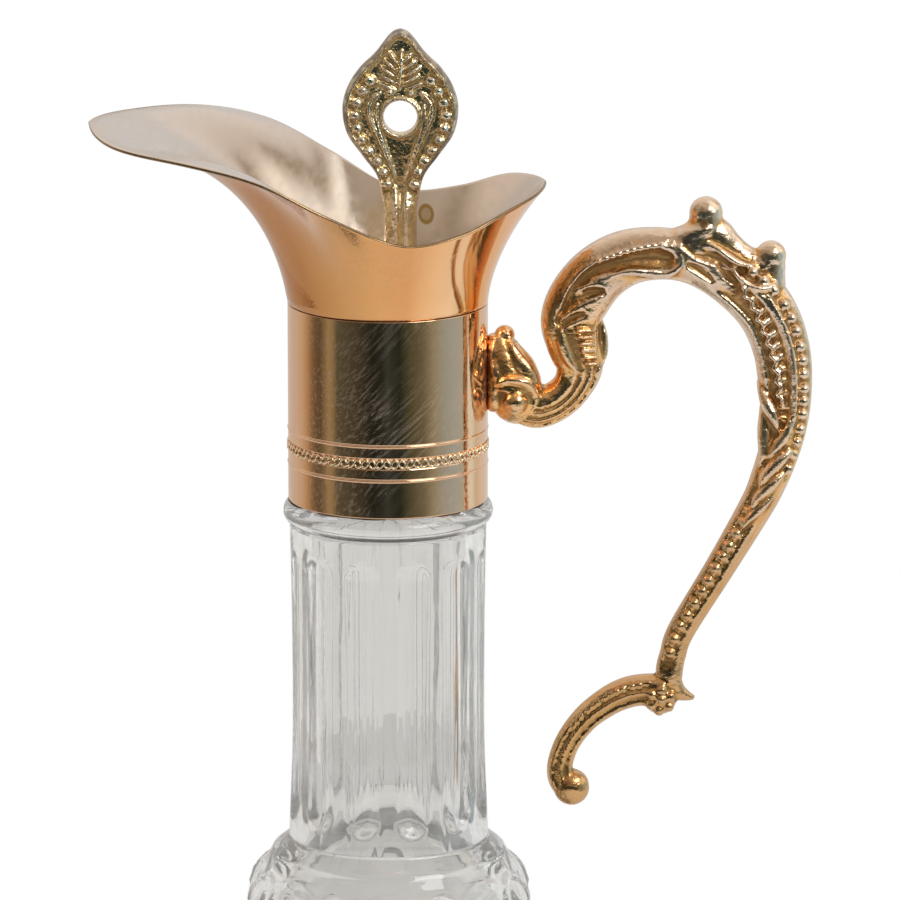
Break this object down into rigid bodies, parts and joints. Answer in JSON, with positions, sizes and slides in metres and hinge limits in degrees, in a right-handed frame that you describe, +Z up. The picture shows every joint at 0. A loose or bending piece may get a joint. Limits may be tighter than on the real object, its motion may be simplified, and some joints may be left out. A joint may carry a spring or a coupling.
{
  "type": "claret jug",
  "caption": "Tall pressed glass claret jug with a plated metal collar, a bell-shaped pouring spout, a cast scroll handle and a lift-out stopper with a pierced finial.",
  "frame": {"origin": "centre of the foot, on the surface that the jug stands on", "axes": "+Z up along the neck, +X from the neck towards the handle, -X towards the spout's tip, +Y to the jug's left flank as seen with the handle on the right, away from the viewer"},
  "size_m": [0.1731, 0.094, 0.321],
  "materials": {
    "pressed_glass": "clear, fire polished",
    "plaster": "matt",
    "seal": "matt",
    "polished_plate": "mirror polished, with fine scratches",
    "cast_plate": "polished on the high parts, dark in the hollows",
    "aged_plate": "worn plate, dark in the hollows",
    "steel": "bright zinc plated",
    "cork": "natural cork"
  },
  "bodies": {
    "jug": {"glass_bottle": "pressed_glass", "neck_cement": "plaster", "throat_seal": "seal", "collar": "polished_plate", "spout": "polished_plate", "handle": "cast_plate", "backing_plate": "steel", "handle_screws": "steel"},
    "stopper": {"finial": "aged_plate", "stopper_cap": "aged_plate", "stopper_cork": "cork", "stopper_stud": "steel", "stopper_washer": "steel", "stopper_nut": "steel"}
  },
  "joints": [
    {"name": "stopper_lift", "type": "slide", "parent": "jug", "child": "stopper", "axis": [0, 0, 1], "range_m": [0, 0.08]}
  ]
}
